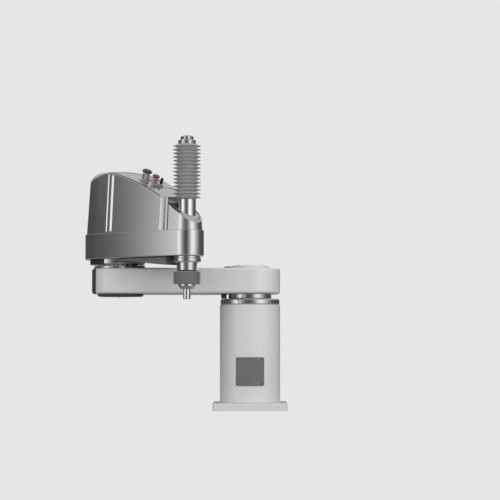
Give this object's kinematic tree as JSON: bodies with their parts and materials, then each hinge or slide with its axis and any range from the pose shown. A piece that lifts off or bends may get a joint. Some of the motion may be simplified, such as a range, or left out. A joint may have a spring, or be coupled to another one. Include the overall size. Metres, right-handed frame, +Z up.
{
  "type": "scara robot arm",
  "caption": "Floor-standing horizontal two-link robot arm on a round column, with a vertical turning spindle in bellows.",
  "frame": {"origin": "first joint's axis at the underside of the base plate", "axes": "+Z up along the first joint's axis; arm 1 points along -X at rest; -Y is the base's front"},
  "size_m": [0.6849, 0.4551, 0.905],
  "materials": {
    "white_paint": "satin",
    "satin_nickel": "satin",
    "chrome": "polished",
    "steel": "satin",
    "dark_metal": "satin",
    "dark_paint": "satin",
    "motor_black": "matte",
    "black_plastic": "matte",
    "bellows_grey": "matte",
    "belt_rubber": "matte",
    "blue_plastic": "satin",
    "orange_plastic": "satin"
  },
  "bodies": {
    "base": {"base_plate": "white_paint", "base_column": "white_paint", "column_front_plate": "dark_paint", "rear_connector_box": "white_paint", "power_connector": "black_plastic", "signal_connector": "black_plastic", "base_user_connector": "steel", "base_air_fitting_1": "steel", "base_air_fitting_2": "steel", "base_air_fitting_3": "steel", "j1_reducer_ring": "steel", "j1_motor": "motor_black", "j1_fixed_stop": "dark_metal"},
    "arm1": {"j1_output_ring": "steel", "j1_moving_stop": "dark_metal", "arm1_casting": "white_paint", "arm1_end_cover": "dark_metal", "arm1_top_cover": "white_paint", "arm1_cable_clip": "black_plastic", "arm1_bottom_cover": "dark_metal", "j2_lower_ring": "steel", "j2_fixed_stop": "dark_metal"},
    "arm2": {"j2_upper_ring": "steel", "j2_moving_stop": "dark_metal", "arm2_housing": "satin_nickel", "arm2_bottom_pan": "dark_paint", "arm2_main_cover": "satin_nickel", "arm2_nose_cover": "satin_nickel", "j2_reducer": "dark_metal", "j2_motor": "motor_black", "j3_motor": "motor_black", "j4_motor": "motor_black", "j3_belt": "belt_rubber", "j4_belt": "belt_rubber", "user_plate": "steel", "user_air_fitting_1": "chrome", "user_air_fitting_2": "chrome", "release_ring_1": "blue_plastic", "release_ring_2": "orange_plastic", "user_connector": "steel", "spindle_lower_flange": "steel", "spline_nut_housing": "steel", "screw_nut_housing": "steel", "bellows_boss": "chrome", "upper_bellows": "bellows_grey", "lower_bellows": "bellows_grey"},
    "z_carrier": {"upper_bellows_collar": "steel", "lower_bellows_collar": "steel"},
    "spindle": {"spindle_shaft": "chrome", "shaft_stop_collar": "steel"},
    "ball_screw_nut": {"ball_screw_nut": "steel"},
    "spline_nut": {"spline_nut": "steel"},
    "j3_motor_pulley": {"j3_motor_pulley": "steel"},
    "j4_motor_pulley": {"j4_motor_pulley": "steel"},
    "j1_wave_generator": {"j1_wave_generator": "steel"},
    "j2_wave_generator": {"j2_wave_generator": "steel"},
    "brake_release_button": {"brake_release_button": "black_plastic"}
  },
  "joints": [
    {"name": "j1", "type": "hinge", "parent": "base", "child": "arm1", "pos_m": [0, 0, 0.383], "axis": [0, 0, 1], "range_deg": [-62, 242]},
    {"name": "j2", "type": "hinge", "parent": "arm1", "child": "arm2", "pos_m": [-0.45, 0, 0.49], "axis": [0, 0, 1], "range_deg": [-286.1, 17.9]},
    {"name": "z", "type": "slide", "parent": "arm2", "child": "z_carrier", "axis": [0, 0, 1], "range_m": [-0.15, 0], "deforming": ["upper_bellows", "lower_bellows"]},
    {"name": "u", "type": "hinge", "parent": "z_carrier", "child": "spindle", "pos_m": [-0.20643, -0.25134, 0.64], "axis": [0, 0, 1], "range_deg": [-360, 360]},
    {"name": "j1_wave_generator_turn", "type": "hinge", "parent": "base", "child": "j1_wave_generator", "pos_m": [0, 0, 0.33], "axis": [0, 0, 1], "range_deg": [-12200, 3200]},
    {"name": "j2_wave_generator_turn", "type": "hinge", "parent": "arm2", "child": "j2_wave_generator", "pos_m": [-0.45, 0, 0.53], "axis": [0, 0, 1], "range_deg": [-950, 14400]},
    {"name": "ball_screw_nut_turn", "type": "hinge", "parent": "arm2", "child": "ball_screw_nut", "pos_m": [-0.20643, -0.25134, 0.58], "axis": [0, 0, 1], "range_deg": [-30, 2730]},
    {"name": "spline_nut_turn", "type": "hinge", "parent": "arm2", "child": "spline_nut", "pos_m": [-0.20643, -0.25134, 0.53], "axis": [0, 0, 1], "range_deg": [-362, 362]},
    {"name": "j3_motor_turn", "type": "hinge", "parent": "arm2", "child": "j3_motor_pulley", "pos_m": [-0.26767, -0.18815, 0.558], "axis": [0, 0, 1], "range_deg": [-60, 5460]},
    {"name": "j4_motor_turn", "type": "hinge", "parent": "arm2", "child": "j4_motor_pulley", "pos_m": [-0.33448, -0.11921, 0.543], "axis": [0, 0, 1], "range_deg": [-724, 724]},
    {"name": "brake_button_press", "type": "slide", "parent": "arm2", "child": "brake_release_button", "axis": [0.2674, -0.276, 0.9232], "range_m": [-0.002, 0], "stiffness_N_per_m": 600, "springref_m": 0.002}
  ],
  "couplings": [
    {"joint": "j1_wave_generator_turn", "follows": "j1", "ratio": -50},
    {"joint": "j2_wave_generator_turn", "follows": "j2", "ratio": -50},
    {"joint": "ball_screw_nut_turn", "follows": "z", "rad_per_m": -314.16},
    {"joint": "j3_motor_turn", "follows": "z", "rad_per_m": -628.32},
    {"joint": "spline_nut_turn", "follows": "u", "ratio": 1},
    {"joint": "j4_motor_turn", "follows": "u", "ratio": 2}
  ]
}
